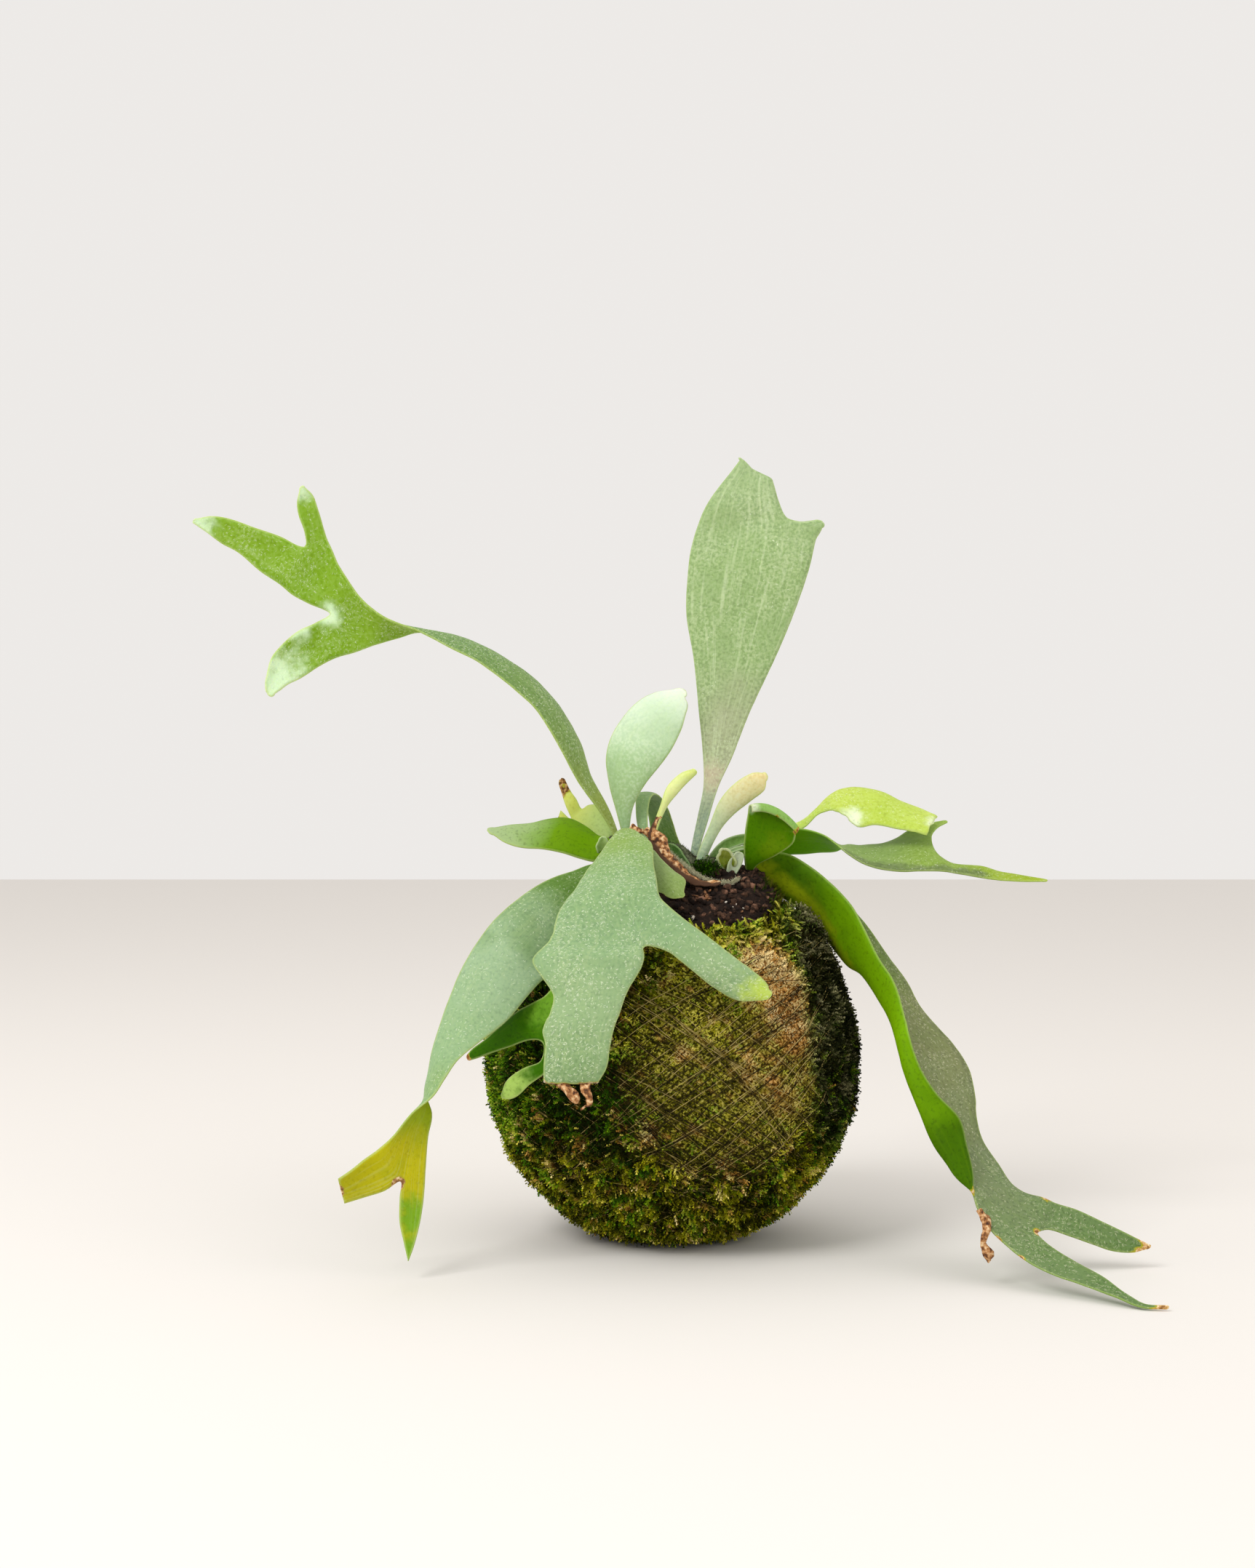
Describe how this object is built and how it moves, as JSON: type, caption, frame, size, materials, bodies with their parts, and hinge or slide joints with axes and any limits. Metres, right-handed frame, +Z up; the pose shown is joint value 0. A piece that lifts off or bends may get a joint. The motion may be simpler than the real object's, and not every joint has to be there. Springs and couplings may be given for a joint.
{
  "type": "kokedama moss ball plant",
  "caption": "Staghorn fern with forked hanging fronds growing from the open top of a moss-covered ball of soil bound with thread; rests on a small flat spot",
  "frame": {"origin": "middle of the small flat spot under the ball, on the surface it rests on", "axes": "+Z up, -Y towards the viewer of the front, +X to the right"},
  "size_m": [0.3346, 0.1989, 0.2915],
  "materials": {
    "moss": "soft, matt, tufted",
    "soil": "matt, crumbly",
    "thread": "fine, slightly glossy",
    "rhizome": "felted, matt",
    "frond_grey_green": "leathery with a thin pale felt",
    "frond_deep_green": "leathery, satin",
    "frond_bright_green": "leathery, satin, light shows through",
    "frond_pale_green": "leathery, pale felt, light shows through",
    "dry_frond": "dry, papery"
  },
  "bodies": {
    "root": {"moss_layer": "moss", "soil_ball": "soil", "binding_thread": "thread", "rhizome": "rhizome", "frond_upper_left": "frond_bright_green", "frond_tall": "frond_pale_green", "frond_pale_short": "frond_pale_green", "frond_thin_young": "frond_pale_green", "frond_tongue": "frond_pale_green", "frond_short_left": "frond_deep_green", "frond_torn_left": "frond_grey_green", "frond_front": "frond_grey_green", "frond_behind_front": "frond_grey_green", "frond_left_hanging": "frond_grey_green", "frond_under_left": "frond_deep_green", "frond_stub_right": "frond_deep_green", "frond_right_level": "frond_grey_green", "frond_right_arched": "frond_bright_green", "frond_right_hanging": "frond_grey_green", "frond_back": "frond_deep_green", "small_shield_frond": "frond_deep_green", "dry_shield_frond": "dry_frond"}
  },
  "joints": []
}
